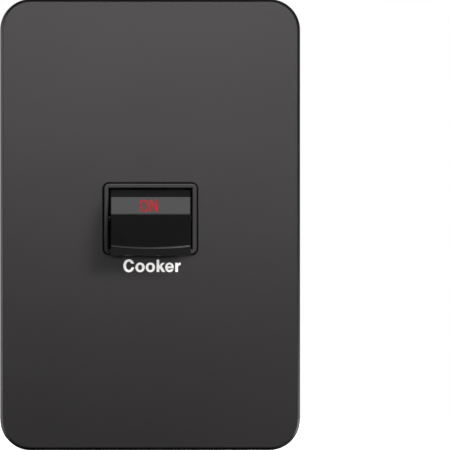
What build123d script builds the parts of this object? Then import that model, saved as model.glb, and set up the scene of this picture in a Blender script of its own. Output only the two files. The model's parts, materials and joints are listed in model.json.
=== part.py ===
from build123d import *
import math
import os

os.makedirs("parts", exist_ok=True)

# Frame: +Z up, the front faces -Y, the wall is the plane y = 0.
# The origin is the plate's centre on the wall. Depths are y values in millimetres.

# Front plate
PLATE_WIDTH = 97.7
PLATE_HEIGHT = 147.0
PLATE_CORNER = 10.0
PLATE_DEPTH = 5.5
PLATE_SHEET = 1.2
PLATE_WALL = 1.0
PLATE_DRAFT = 0.9
PLATE_DRAFT_DEPTH = 3.0
PLATE_ARRIS = 0.3
PRISE_NOTCH = 12.0
PRISE_NOTCH_DEPTH = 1.2
SWITCH_RISE = 1.9

# Rocker surround
SURROUND_WIDTH = 30.1
SURROUND_HEIGHT = 22.8
SURROUND_BAR = 1.4
SURROUND_CORNER = 1.6
SURROUND_PROUD = 0.8
SURROUND_ROUND = 0.35
SURROUND_LIP = 1.5
SURROUND_FLANGE = 1.0
APERTURE_GAP = 0.4

# Rocker
ROCKER_SIDE_GAP = 0.6
ROCKER_THROW = 14.0
PIVOT_DEPTH = 0.2
RIDGE_REACH = 11.28
UPPER_TILT = 12.7
UPPER_HEIGHT = 5.98
LOWER_TILT = 7.0
NECK_GAP = 1.35
NOSE_GAP = 0.35
NOSE_DROP = 13.1
LIP_DROP = 10.55
LIP_RADIUS = 110.0
LIP_PROUD = 0.5
LIP_RISE = 0.55
LIP_CREST = 0.25
NOSE_TILT = 24.0
RIDGE_ROUND = 2.5
ROCKER_EDGE = 0.3
ROCKER_WALL = 1.6
ROCKER_FRONT_WALL = 2.08
ROCKER_TAIL = 3.4
TRUNNION_RADIUS = 1.6
TRUNNION_LENGTH = 1.9
PIVOT_GAP = 0.06

# Plungers in the rocker
POLE_OFFSET = 8.5
TUBE_RADIUS = 3.0
TUBE_TAIL = 7.0
TUBE_DEPTH = 9.5
PLUNGER_RADIUS = 2.1
PLUNGER_GAP = 0.1
PLUNGER_TIP = 1.6
PLUNGER_GUIDE = 5.5
SPRING_WIRE = 0.45
SPRING_TURNS = 4

# See-saw contacts
SEESAW_DEPTH = 12.0
SEESAW_THICK = 1.5
SEESAW_WIDTH = 6.0
SEESAW_HALF = 13.3
SEESAW_SWING = 16.0
TIP_ARM = 11.0
TIP_RADIUS = 1.9
TIP_THICK = 1.0
CONTACT_GAP = 0.1
NOSE_ROUND = 0.5
STRIP_THICK = 1.2
STRIP_WIDTH = 8.0
FULCRUM_STAND = 3.9
CHEEK = 0.7

# Terminals
TERMINAL_WIDTH = 10.0
TERMINAL_LENGTH = 11.2
TERMINAL_DEPTH = 11.0
TERMINAL_START = 17.8
CABLE_RADIUS = 3.0
CABLE_FRONT_WALL = 2.0
TERMINAL_ROUND = 0.5
CLAMP_RADIUS = 2.4
CLAMP_BACKOFF = 2.5
CLAMP_HEAD_RADIUS = 3.9
CLAMP_HEAD = 2.4
SLOT_WIDTH = 1.0
SLOT_DEPTH = 1.1

# Housing
COLLAR_FRONT = 3.2
COLLAR_WALL = 2.1
HOUSING_WIDTH = 44.0
HOUSING_FRONT_WALL = 2.5
HOUSING_END_WALL = 2.0
HOUSING_DEPTH = 24.0
HOUSING_CORNER = 2.5
POLE_HALF_HEIGHT = 16.0
FLANGE_WIDTH = 58.0
FLANGE_HEIGHT = 42.0
FLANGE_THICK = 4.0
COVER_THICK = 2.4
BARRIER_HEIGHT = 1.8
BARRIER_THICK = 1.6
ENTRY_FLARE = 0.9
PANEL_DEPTH = 1.0
PANEL_LENGTH = 13.0
PANEL_PITCH = 16.0
PANEL_MARGIN = 3.0
TAIL_ROOM = 2.0
PAD_INSET = 1.0
PAD_GAP = 0.5
FIT_GAP = 0.15

# Mounting frame
FRAME_SHEET = 1.5
FRAME_GAP = 0.6
FRAME_EDGE = 2.0
FIXING_CENTRES = 120.6
FIXING_RADIUS = 2.1
WINDOW_GAP = 0.3
RELIEF_X = 22.0
RELIEF_LENGTH = 13.0
RELIEF_WIDTH = 5.0
BEAD_INSET = 8.5
BEAD_LENGTH = 64.0
BEAD_WIDTH = 4.0
BEAD_RISE = 0.7

# Plate clips
CLIP_LENGTH = 9.0
CLIP_SHEET = 0.3
CLIP_HEIGHT = 46.0
CLIP_BOW = 0.15

# Screws
SCREW_RADIUS = 1.5
SCREW_HEAD_RADIUS = 2.9
SCREW_LENGTH = 9.0
SCREW_END_GAP = 1.0
BOSS_FLARE = 1.0
RECESS_SHARE = 0.55
HOUSING_SCREW_X = 24.5
HOUSING_SCREW_Z = 15.0
COVER_SCREW_INSET = 4.6
COVER_SCREW_Z = 22.0
COVER_SCREW_LENGTH = 12.0
COVER_HEAD = 1.4

# Earth terminal
EARTH_INSET = 14.25
EARTH_Z = -31.0
EARTH_WIDTH = 9.0
EARTH_DEPTH = 8.6
EARTH_BORE = 2.2
EARTH_STUD = 2.0
RIVET_LIP = 1.0
EARTH_SCREW = 1.8

COVER_SCREW_X = HOUSING_WIDTH / 2 - COVER_SCREW_INSET
FRAME_WIDTH = PLATE_WIDTH - 2 * PLATE_WALL - 2 * FRAME_GAP
FRAME_HEIGHT = PLATE_HEIGHT - 2 * PLATE_WALL - 2 * FRAME_GAP
EARTH_X = EARTH_INSET - FRAME_WIDTH / 2
HALF_THROW = ROCKER_THROW / 2
HALF_SWING = SEESAW_SWING / 2
OPENING_WIDTH = SURROUND_WIDTH - 2 * SURROUND_BAR
OPENING_HEIGHT = SURROUND_HEIGHT - 2 * SURROUND_BAR
ROCKER_WIDTH = OPENING_WIDTH - 2 * ROCKER_SIDE_GAP
PLATE_BACK = -PLATE_DEPTH + PLATE_SHEET
SURROUND_FRONT = -PLATE_DEPTH - SURROUND_PROUD
FULCRUM_Y = PIVOT_DEPTH + SEESAW_DEPTH + SEESAW_THICK
STRIP_FRONT = FULCRUM_Y + FULCRUM_STAND
STRIP_BACK = STRIP_FRONT + STRIP_THICK
TERMINAL_FRONT = STRIP_FRONT - TERMINAL_DEPTH
CABLE_Y = TERMINAL_FRONT + CABLE_FRONT_WALL + CABLE_RADIUS
TERMINAL_END = TERMINAL_START + TERMINAL_LENGTH
HOUSING_HALF_HEIGHT = TERMINAL_END + FIT_GAP + HOUSING_END_WALL
CLAMP_Z = TERMINAL_START + TERMINAL_LENGTH / 2


def front_slab(shape, front, back):
    return extrude(Plane.XZ.offset(-back) * shape, back - front)


def side_slab(shape, half_width):
    return extrude(Plane.YZ * shape, half_width, both=True)


def block(x, y, z):
    centre = Pos((x[0] + x[1]) / 2, (y[0] + y[1]) / 2, (z[0] + z[1]) / 2)
    return centre * Box(x[1] - x[0], y[1] - y[0], z[1] - z[0])


def rod(radius, x, z, front, back):
    return Pos(x, (front + back) / 2, z) * Rot(90, 0, 0) * Cylinder(radius, back - front)


def cone_rod(front_radius, back_radius, x, z, front, back):
    centre = Pos(x, (front + back) / 2, z)
    return centre * Rot(90, 0, 0) * Cone(back_radius, front_radius, back - front)


def upright_rod(radius, x, y, low, high):
    return Pos(x, y, (low + high) / 2) * Cylinder(radius, high - low)


def turned(shape, degrees, y):
    return Pos(0, y, 0) * Rot(degrees, 0, 0) * Pos(0, -y, 0) * shape


def front_edges(shape, y):
    return shape.edges().filter_by(lambda e: abs(e.bounding_box().min.Y - y) < 1e-4
                                   and abs(e.bounding_box().max.Y - y) < 1e-4)


def raised(shape):
    return Pos(0, 0, SWITCH_RISE) * shape


def mirrored_pair(shape):
    return [shape, mirror(shape, Plane.YZ)]


def save(name, *solids):
    if len(solids) == 1:
        result = solids[0]
    else:
        result = Compound(children=list(solids))
    result.label = name
    export_step(result, f"parts/{name}.step")


# A slab with its front edges drafted back
def drafted(slab, inset, depth):
    front = slab.faces().sort_by(Axis.Y)[0]
    return chamfer(front.edges(), inset, depth, reference=front)


# Front plate: a pressed tray with drafted sides that stop at the wall
def make_front_plate():
    outline = RectangleRounded(PLATE_WIDTH, PLATE_HEIGHT, PLATE_CORNER)
    inner = RectangleRounded(PLATE_WIDTH - 2 * PLATE_WALL, PLATE_HEIGHT - 2 * PLATE_WALL,
                             PLATE_CORNER - PLATE_WALL)
    tray = drafted(front_slab(outline, -PLATE_DEPTH, 0), PLATE_DRAFT, PLATE_DRAFT_DEPTH)
    tray = fillet(front_edges(tray, -PLATE_DEPTH), PLATE_ARRIS)
    tray -= drafted(front_slab(inner, PLATE_BACK, 0), PLATE_DRAFT / 3, PLATE_DRAFT_DEPTH / 6)
    hole = RectangleRounded(SURROUND_WIDTH + 2 * APERTURE_GAP, SURROUND_HEIGHT + 2 * APERTURE_GAP,
                            SURROUND_CORNER + APERTURE_GAP)
    tray -= raised(front_slab(hole, -PLATE_DEPTH - 1, PLATE_BACK + 1))
    rim = front_edges(tray, -PLATE_DEPTH)
    rim = rim.filter_by(lambda e: abs(e.center().X) < SURROUND_WIDTH
                        and abs(e.center().Z) < SURROUND_HEIGHT)
    tray = fillet(rim, PLATE_ARRIS)
    tray -= block((-PRISE_NOTCH / 2, PRISE_NOTCH / 2), (-PRISE_NOTCH_DEPTH, 1),
                  (-PLATE_HEIGHT / 2 - 1, -PLATE_HEIGHT / 2 + PLATE_WALL + 1))
    return tray


# Rocker surround: a rounded frame standing proud of the plate, with a flange behind the plate
def make_surround():
    flange_back = -COLLAR_FRONT
    flange_front = flange_back - SURROUND_FLANGE
    frame = RectangleRounded(SURROUND_WIDTH, SURROUND_HEIGHT, SURROUND_CORNER)
    flange = RectangleRounded(SURROUND_WIDTH + 2 * SURROUND_LIP, SURROUND_HEIGHT + 2 * SURROUND_LIP,
                              SURROUND_CORNER + SURROUND_LIP)
    solid = front_slab(frame, SURROUND_FRONT, flange_back)
    solid += front_slab(flange, flange_front, flange_back)
    solid -= front_slab(Rectangle(OPENING_WIDTH, OPENING_HEIGHT), SURROUND_FRONT - 1, flange_back + 1)
    return fillet(front_edges(solid, SURROUND_FRONT), SURROUND_ROUND)


# Rocker: drawn half way through its throw about a pivot at the origin, then tipped to off
def rocker_profile():
    tan_low = math.tan(math.radians(LOWER_TILT))
    tan_up = math.tan(math.radians(UPPER_TILT))
    proud = LIP_PROUD / math.cos(math.radians(LOWER_TILT))
    meet = proud / (tan_low + tan_up)
    neck = OPENING_HEIGHT / 2 - NECK_GAP
    crown = (-RIDGE_REACH + UPPER_HEIGHT * tan_up, UPPER_HEIGHT)
    sweep = math.hypot(*crown)
    shoulder = (-math.sqrt(sweep ** 2 - neck ** 2), neck)
    middle_angle = (math.atan2(crown[1], -crown[0]) + math.atan2(shoulder[1], -shoulder[0])) / 2
    middle = (-sweep * math.cos(middle_angle), sweep * math.sin(middle_angle))
    half = math.radians(HALF_THROW)
    stop = -(PIVOT_DEPTH - SURROUND_FRONT + NOSE_GAP)
    nose_root = (stop / math.cos(half) - neck * math.tan(half), -neck)
    nose_end = (stop / math.cos(half) - NOSE_DROP * math.tan(half), -NOSE_DROP)
    front_top = (-RIDGE_REACH - meet * tan_up, -meet)
    front_low = (-RIDGE_REACH - proud + NOSE_DROP * tan_low, -NOSE_DROP)
    path = Polyline((ROCKER_TAIL, neck), shoulder)
    path += ThreePointArc(shoulder, middle, crown)
    path += Polyline(crown, front_top, front_low, nose_end, nose_root, (ROCKER_TAIL, -neck),
                     (ROCKER_TAIL, neck))
    return make_face(path)


def make_rocker():
    half_width = ROCKER_WIDTH / 2
    neck = OPENING_HEIGHT / 2 - NECK_GAP
    solid = side_slab(rocker_profile(), half_width)

    # The main facet is scooped out above a smiling ledge, and the nose is cut back below it
    lip_y = -RIDGE_REACH + LIP_DROP * math.tan(math.radians(LOWER_TILT))
    facet = Pos(0, lip_y, -LIP_DROP) * Rot(90 + LOWER_TILT, 0, 0)
    reach = 3.0
    flare = reach * LIP_RISE / LIP_PROUD
    scoop = Cone(LIP_RADIUS, LIP_RADIUS + flare, reach, align=(Align.CENTER, Align.CENTER, Align.MIN))
    solid -= facet * Pos(0, LIP_RADIUS, 0) * scoop
    crest = LIP_RADIUS + LIP_RISE + LIP_CREST
    spread = 1 / math.tan(math.radians(NOSE_TILT - LOWER_TILT))
    behind = RIDGE_REACH + 2 * ROCKER_TAIL
    keep = Cone(crest + behind * spread, crest - reach * spread, behind + reach,
                align=(Align.CENTER, Align.CENTER, Align.MIN))
    solid &= facet * Pos(0, LIP_RADIUS, LIP_PROUD - behind) * keep

    # Front edges: broad at the ridge, small along the lip and the sides
    ridge = solid.edges().filter_by(Axis.X).sort_by_distance((0, -RIDGE_REACH, 0))[0]
    solid = fillet(ridge, RIDGE_ROUND)
    sides = solid.edges().filter_by(lambda e: abs(abs(e.center().X) - half_width) < 1e-4
                                    and e.center().Y < -neck)
    solid = fillet(sides, ROCKER_EDGE)
    return solid


# Behind the face the rocker is a shell, with a tube for each plunger and a trunnion at each side
def finish_rocker(solid):
    neck = OPENING_HEIGHT / 2 - NECK_GAP
    inner = ROCKER_WIDTH / 2 - ROCKER_WALL
    tan_up = math.tan(math.radians(UPPER_TILT))
    tan_low = math.tan(math.radians(LOWER_TILT))
    roof = -RIDGE_REACH + ROCKER_FRONT_WALL
    hollow = Polyline((ROCKER_TAIL + 1, neck - ROCKER_WALL), (roof + neck * tan_up, neck - ROCKER_WALL),
                      (roof, 0), (roof + neck * tan_low, -neck + ROCKER_WALL),
                      (ROCKER_TAIL + 1, -neck + ROCKER_WALL), close=True)
    solid -= side_slab(make_face(hollow), inner)
    for x in (-POLE_OFFSET, POLE_OFFSET):
        solid += rod(TUBE_RADIUS, x, 0, roof - ROCKER_FRONT_WALL / 4, TUBE_TAIL)
        solid -= rod(PLUNGER_RADIUS + PLUNGER_GAP, x, 0, TUBE_TAIL - TUBE_DEPTH, TUBE_TAIL + 1)
    for side in (-1, 1):
        reach = ROCKER_WIDTH / 2 + TRUNNION_LENGTH
        root = ROCKER_WIDTH / 2 - ROCKER_WALL / 2
        pin = Pos(side * (root + reach) / 2, 0, 0) * Rot(0, 90, 0)
        solid += pin * Cylinder(TRUNNION_RADIUS, reach - root)
    return solid


def tipped(shape):
    return raised(Pos(0, PIVOT_DEPTH, 0) * Rot(-HALF_THROW, 0, 0) * shape)


# Plunger: a nylon peg in the rocker's tube with a round nose that rides on the see-saw
def make_plunger(x):
    nose = SEESAW_DEPTH - CONTACT_GAP - PLUNGER_TIP
    back = TUBE_TAIL - PLUNGER_GUIDE
    peg = rod(PLUNGER_RADIUS, x, 0, back, TUBE_TAIL)
    peg += rod(PLUNGER_TIP, x, 0, TUBE_TAIL, nose)
    peg += Pos(x, nose, 0) * Sphere(PLUNGER_TIP)
    return peg


# Plunger spring: a square-wire coil between the tube's blind end and the peg
def make_spring(x):
    length = TUBE_DEPTH - PLUNGER_GUIDE - SPRING_WIRE
    radius = PLUNGER_RADIUS - SPRING_WIRE
    coil = Helix(length / SPRING_TURNS, length, radius)
    section = Plane(coil @ 0, z_dir=coil % 0) * Rectangle(SPRING_WIRE, SPRING_WIRE)
    wire = sweep(section, coil, is_frenet=True)
    start = TUBE_TAIL - TUBE_DEPTH + SPRING_WIRE / 2
    return Pos(x, start, 0) * Rot(-90, 0, 0) * wire


# See-saw contact: a copper bar rocking on a round nose, with a silver tip at its upper end
def make_seesaw():
    bar_front = FULCRUM_Y - SEESAW_THICK
    bar = front_slab(SlotOverall(2 * SEESAW_HALF, SEESAW_WIDTH, rotation=90), bar_front, FULCRUM_Y)
    groove = Pos(0, FULCRUM_Y, 0) * Rot(0, 90, 0) * Cylinder(NOSE_ROUND + CONTACT_GAP, 2 * SEESAW_WIDTH)
    return bar - groove


def make_moving_tip():
    tip = rod(TIP_RADIUS, 0, TIP_ARM, FULCRUM_Y, FULCRUM_Y + TIP_THICK)
    edge = tip.edges().filter_by(GeomType.CIRCLE).sort_by(Axis.Y)[-1]
    return chamfer(edge, TIP_THICK / 4)


def make_fixed_tip():
    front = FULCRUM_Y + TIP_THICK + CONTACT_GAP
    tip = rod(TIP_RADIUS, 0, TIP_ARM, front, front + TIP_THICK)
    return turned(tip, -HALF_SWING, FULCRUM_Y)


# Fixed contact: a brass strip from the supply terminal, bent to meet the see-saw square on
def make_fixed_contact():
    front = FULCRUM_Y + 2 * TIP_THICK + CONTACT_GAP
    low = TIP_ARM - TIP_RADIUS - STRIP_THICK / 2
    pad = block((-SEESAW_WIDTH / 2, SEESAW_WIDTH / 2), (front, front + STRIP_THICK),
                (low, SEESAW_HALF + STRIP_THICK))
    pad = turned(pad, -HALF_SWING, FULCRUM_Y)
    strip = block((-STRIP_WIDTH / 2, STRIP_WIDTH / 2), (STRIP_FRONT, STRIP_BACK),
                  (SEESAW_HALF - STRIP_THICK, TERMINAL_END))
    strip -= rod(CLAMP_RADIUS + FIT_GAP, 0, CLAMP_Z, STRIP_FRONT - 1, STRIP_BACK + 1)
    pad &= block((-STRIP_WIDTH, STRIP_WIDTH), (FULCRUM_Y, STRIP_BACK), (0, TERMINAL_END))
    return pad + strip


# Fulcrum: a brass strip to the load terminal, with a round-nosed web and two guiding cheeks
def make_fulcrum():
    web = SEESAW_WIDTH / 2 + CONTACT_GAP * 2 + CHEEK
    wedge = make_face(Polyline((FULCRUM_Y, NOSE_ROUND), (STRIP_FRONT, 2 * NOSE_ROUND),
                               (STRIP_FRONT, -2 * NOSE_ROUND), (FULCRUM_Y, -NOSE_ROUND), close=True))
    solid = side_slab(wedge, web)
    solid += Pos(0, FULCRUM_Y, 0) * Rot(0, 90, 0) * Cylinder(NOSE_ROUND, 2 * web)
    for side in (-1, 1):
        inner = SEESAW_WIDTH / 2 + CONTACT_GAP * 2
        x = sorted((side * inner, side * (inner + CHEEK)))
        solid += block(x, (FULCRUM_Y - SEESAW_THICK, STRIP_FRONT), (-3 * NOSE_ROUND, 3 * NOSE_ROUND))
    solid += block((-STRIP_WIDTH / 2 - CHEEK, STRIP_WIDTH / 2 + CHEEK), (STRIP_FRONT, STRIP_BACK),
                   (-4 * NOSE_ROUND, 4 * NOSE_ROUND))
    solid += block((-STRIP_WIDTH / 2, STRIP_WIDTH / 2), (STRIP_FRONT, STRIP_BACK), (-TERMINAL_END, 0))
    return solid - rod(CLAMP_RADIUS + FIT_GAP, 0, -CLAMP_Z, STRIP_FRONT - 1, STRIP_BACK + 1)


# Tunnel terminal: a brass block with a cable bore along Z and a tapped hole from the rear
def make_terminal():
    solid = block((-TERMINAL_WIDTH / 2, TERMINAL_WIDTH / 2), (TERMINAL_FRONT, STRIP_FRONT),
                  (TERMINAL_START, TERMINAL_END))
    solid = fillet(solid.edges().filter_by(Axis.Z), TERMINAL_ROUND)
    solid -= upright_rod(CABLE_RADIUS, 0, CABLE_Y, TERMINAL_START - 1, TERMINAL_END + 1)
    return solid - rod(CLAMP_RADIUS + FIT_GAP / 3, 0, CLAMP_Z, CABLE_Y, STRIP_FRONT + 1)


def slotted(head, x, z, back, radius):
    return head - block((x - radius - 1, x + radius + 1), (back - SLOT_DEPTH, back + 1),
                        (z - SLOT_WIDTH / 2, z + SLOT_WIDTH / 2))


def make_clamp_screw():
    tip = CABLE_Y + CABLE_RADIUS + 2 * CONTACT_GAP
    seat = STRIP_BACK + CLAMP_BACKOFF
    back = seat + CLAMP_HEAD
    head = rod(CLAMP_HEAD_RADIUS, 0, CLAMP_Z, seat, back)
    head = chamfer(head.edges().filter_by(GeomType.CIRCLE).sort_by(Axis.Y)[-1], CLAMP_HEAD / 6)
    head = slotted(head, 0, CLAMP_Z, back, CLAMP_HEAD_RADIUS)
    return head + rod(CLAMP_RADIUS, 0, CLAMP_Z, tip, seat)


# Housing: front collar for the rocker, two pole chambers and four terminal pockets
def make_housing():
    outline = RectangleRounded(HOUSING_WIDTH, 2 * HOUSING_HALF_HEIGHT, HOUSING_CORNER)
    collar = RectangleRounded(OPENING_WIDTH + 2 * COLLAR_WALL, OPENING_HEIGHT + 2 * COLLAR_WALL,
                              SURROUND_CORNER)
    flange = RectangleRounded(FLANGE_WIDTH, FLANGE_HEIGHT, HOUSING_CORNER * 2)
    solid = front_slab(outline, 0, HOUSING_DEPTH)
    solid += front_slab(flange, 0, FLANGE_THICK)
    solid += front_slab(collar, -COLLAR_FRONT, 0)
    for x in (-HOUSING_SCREW_X, HOUSING_SCREW_X):
        for z in (-HOUSING_SCREW_Z, HOUSING_SCREW_Z):
            solid += cone_rod(SCREW_HEAD_RADIUS + BOSS_FLARE, SCREW_HEAD_RADIUS, x, z, 0, SCREW_LENGTH)
            solid -= rod(SCREW_RADIUS + FIT_GAP / 3, x, z, -1, SCREW_LENGTH - SCREW_END_GAP)
    # Rocker opening and the chamber behind it
    chamber_half = POLE_OFFSET + TERMINAL_WIDTH / 2
    solid -= front_slab(Rectangle(OPENING_WIDTH, OPENING_HEIGHT), -COLLAR_FRONT - 1,
                        HOUSING_FRONT_WALL + 1)
    chamber_back = PIVOT_DEPTH + ROCKER_TAIL + NECK_GAP + TAIL_ROOM
    solid -= block((-chamber_half, chamber_half), (HOUSING_FRONT_WALL, chamber_back),
                   (-POLE_HALF_HEIGHT, POLE_HALF_HEIGHT))
    # Trunnion pockets with a lead-in from the front
    pocket = OPENING_WIDTH / 2 + TRUNNION_LENGTH - ROCKER_SIDE_GAP + 2 * FIT_GAP
    hole = Pos(0, PIVOT_DEPTH, 0) * Rot(0, 90, 0)
    solid -= hole * Cylinder(TRUNNION_RADIUS + PIVOT_GAP, 2 * pocket)
    lead = OPENING_WIDTH / 2 + TRUNNION_LENGTH / 2
    solid -= block((-lead, lead), (-COLLAR_FRONT - 1, PIVOT_DEPTH), (-TRUNNION_RADIUS, TRUNNION_RADIUS))
    # Shallow panels between ribs on both sides, clear of the flange and its screw bosses
    panel_front = SCREW_LENGTH + PANEL_MARGIN / 2
    panel_back = HOUSING_DEPTH - PANEL_MARGIN
    for side in (-1, 1):
        face = side * HOUSING_WIDTH / 2
        x = sorted((face - side * PANEL_DEPTH, face + side))
        for z in (-PANEL_PITCH, 0, PANEL_PITCH):
            solid -= block(x, (panel_front, panel_back), (z - PANEL_LENGTH / 2, z + PANEL_LENGTH / 2))
    for side in (-1, 1):
        inner = POLE_OFFSET - TERMINAL_WIDTH / 2 - FIT_GAP
        outer = POLE_OFFSET + TERMINAL_WIDTH / 2 + FIT_GAP
        x = sorted((side * inner, side * outer))
        solid -= block(x, (chamber_back - 1, HOUSING_DEPTH + 1), (-POLE_HALF_HEIGHT, POLE_HALF_HEIGHT))
        for end in (-1, 1):
            z = sorted((end * (TERMINAL_START - FIT_GAP), end * (TERMINAL_END + FIT_GAP)))
            solid -= block(x, (TERMINAL_FRONT - FIT_GAP, HOUSING_DEPTH + 1), z)
            z = sorted((end * (POLE_HALF_HEIGHT - 1), end * TERMINAL_START))
            strip = STRIP_WIDTH / 2 + FIT_GAP
            x_strip = (side * POLE_OFFSET - strip, side * POLE_OFFSET + strip)
            solid -= block(x_strip, (STRIP_FRONT - FIT_GAP, HOUSING_DEPTH + 1), z)
            entry = CABLE_RADIUS + 4 * FIT_GAP
            funnel = Cone(entry, entry + ENTRY_FLARE, HOUSING_HALF_HEIGHT - TERMINAL_END)
            middle = (TERMINAL_END + HOUSING_HALF_HEIGHT) / 2
            tilt = Rot(90 - 90 * end, 0, 0)
            solid -= Pos(side * POLE_OFFSET, CABLE_Y, end * middle) * tilt * funnel
        # Stop that holds the see-saw's open end when the switch is off
        swing = math.radians(HALF_SWING)
        stop = FULCRUM_Y - SEESAW_THICK * math.cos(swing) - SEESAW_HALF * math.sin(swing) - FIT_GAP
        width = SEESAW_WIDTH / 2
        x_stop = (side * POLE_OFFSET - width, side * POLE_OFFSET + width)
        solid += block(x_stop, (HOUSING_FRONT_WALL, stop), (TIP_ARM, POLE_HALF_HEIGHT))
    for x in (-COVER_SCREW_X, COVER_SCREW_X):
        for z in (-COVER_SCREW_Z, COVER_SCREW_Z):
            solid -= rod(SCREW_RADIUS + FIT_GAP / 3, x, z, HOUSING_DEPTH - COVER_SCREW_LENGTH,
                         HOUSING_DEPTH + 1)
    return solid


# Rear cover: closes the poles, with ribs behind the strips and holes for the clamp screws
def make_cover():
    outline = RectangleRounded(HOUSING_WIDTH, 2 * HOUSING_HALF_HEIGHT, HOUSING_CORNER)
    back = HOUSING_DEPTH + COVER_THICK
    solid = front_slab(outline, HOUSING_DEPTH, back)
    solid = chamfer(front_edges(solid, back), COVER_THICK / 4)
    wall = BARRIER_THICK / 2
    end = HOUSING_HALF_HEIGHT - HOUSING_CORNER
    solid += block((-wall, wall), (back - wall, back + BARRIER_HEIGHT), (-end, end))
    for x in (-POLE_OFFSET, POLE_OFFSET):
        width = STRIP_WIDTH / 2 - PAD_INSET
        for z in ((-4 * NOSE_ROUND, 4 * NOSE_ROUND), (SEESAW_HALF, POLE_HALF_HEIGHT - PAD_GAP)):
            solid += block((x - width, x + width), (STRIP_BACK + CONTACT_GAP, HOUSING_DEPTH), z)
        for z in (-CLAMP_Z, CLAMP_Z):
            solid -= rod(CLAMP_HEAD_RADIUS + 3 * FIT_GAP, x, z, HOUSING_DEPTH - 1, back + 1)
    for x in (-COVER_SCREW_X, COVER_SCREW_X):
        for z in (-COVER_SCREW_Z, COVER_SCREW_Z):
            solid -= rod(SCREW_RADIUS + FIT_GAP, x, z, HOUSING_DEPTH - 1, back + 1)
            solid -= rod(SCREW_HEAD_RADIUS + FIT_GAP, x, z, back - COVER_HEAD, back + 1)
    return solid


def make_cover_screw(x, z):
    back = HOUSING_DEPTH + COVER_THICK
    seat = back - COVER_HEAD
    head = slotted(rod(SCREW_HEAD_RADIUS, x, z, seat, back), x, z, back, SCREW_HEAD_RADIUS)
    return head + rod(SCREW_RADIUS, x, z, HOUSING_DEPTH - COVER_SCREW_LENGTH + SCREW_END_GAP, seat)


# Mounting frame: pressed steel with turned-up long edges, fixing holes and a window
def make_frame():
    corner = PLATE_CORNER - PLATE_WALL - FRAME_GAP
    solid = front_slab(RectangleRounded(FRAME_WIDTH, FRAME_HEIGHT, corner), -FRAME_SHEET, 0)
    top = -FRAME_SHEET - FRAME_EDGE
    edge = front_slab(Rectangle(FRAME_WIDTH, FRAME_HEIGHT - 4 * corner), top, 0)
    edge -= front_slab(Rectangle(FRAME_WIDTH - 2 * FRAME_SHEET, FRAME_HEIGHT), top - 1, 1)
    solid += edge
    # Pressed beads: raised at the front, hollow at the back
    bead = SlotOverall(BEAD_LENGTH, BEAD_WIDTH, rotation=90)
    groove = SlotOverall(BEAD_LENGTH - 2 * BEAD_RISE, BEAD_WIDTH - 2 * BEAD_RISE, rotation=90)
    for x in (BEAD_INSET - FRAME_WIDTH / 2, FRAME_WIDTH / 2 - BEAD_INSET):
        solid += Pos(x, 0, 0) * front_slab(bead, -FRAME_SHEET - BEAD_RISE, -FRAME_SHEET)
        solid -= Pos(x, 0, 0) * front_slab(groove, -BEAD_RISE, 1)
    window = RectangleRounded(OPENING_WIDTH + 2 * COLLAR_WALL + 2 * WINDOW_GAP,
                              OPENING_HEIGHT + 2 * COLLAR_WALL + 2 * WINDOW_GAP,
                              SURROUND_CORNER + WINDOW_GAP)
    solid -= raised(front_slab(window, -FRAME_SHEET - 1, 1))
    for z in (-FIXING_CENTRES / 2, FIXING_CENTRES / 2):
        solid -= rod(FIXING_RADIUS, 0, z, -FRAME_SHEET - 1, 1)
    for x in (-HOUSING_SCREW_X, HOUSING_SCREW_X):
        for z in (-HOUSING_SCREW_Z, HOUSING_SCREW_Z):
            solid -= raised(rod(SCREW_RADIUS + FIT_GAP, x, z, -FRAME_SHEET - 1, 1))
    for x in (-RELIEF_X, RELIEF_X):
        for z in (-FIXING_CENTRES / 2, FIXING_CENTRES / 2):
            slot = SlotOverall(RELIEF_LENGTH, RELIEF_WIDTH)
            solid -= Pos(x, 0, z) * front_slab(slot, -FRAME_SHEET - 1, 1)
    return solid - rod(EARTH_STUD + FIT_GAP / 3, EARTH_X, EARTH_Z, -FRAME_SHEET - 1, 1)


# Plate clip: a spring strip folded over the frame's turned-up edge, bowed against the plate's side
def make_clip(z):
    wall = PLATE_WIDTH / 2 - PLATE_WALL
    half = CLIP_SHEET / 2
    outer = wall - CONTACT_GAP - CLIP_BOW - half
    inner = wall - FRAME_GAP - FRAME_SHEET - half
    top = -FRAME_SHEET - FRAME_EDGE - half
    low = -FRAME_SHEET - CLIP_SHEET
    path = Polyline((inner, low), (inner, top), (outer, top))
    path += ThreePointArc((outer, top), (outer + CLIP_BOW, (top + low) / 2), (outer, low))
    strip = extrude(trace(path, CLIP_SHEET), CLIP_LENGTH)
    return Pos(0, 0, z - CLIP_LENGTH / 2) * strip


# Housing screw: pan head on the front of the frame, cross recess
def make_housing_screw(x, z):
    front = -FRAME_SHEET
    head = rod(SCREW_HEAD_RADIUS, x, z, front - COVER_HEAD, front)
    head = chamfer(head.edges().filter_by(GeomType.CIRCLE).sort_by(Axis.Y)[0], COVER_HEAD / 2)
    arm = SCREW_HEAD_RADIUS * RECESS_SHARE
    for size in ((arm, SLOT_WIDTH / 2), (SLOT_WIDTH / 2, arm)):
        head -= block((x - size[0], x + size[0]), (front - COVER_HEAD - 1, front - COVER_HEAD / 2),
                      (z - size[1], z + size[1]))
    return head + rod(SCREW_RADIUS, x, z, front, SCREW_LENGTH - 2 * SCREW_END_GAP)


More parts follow.
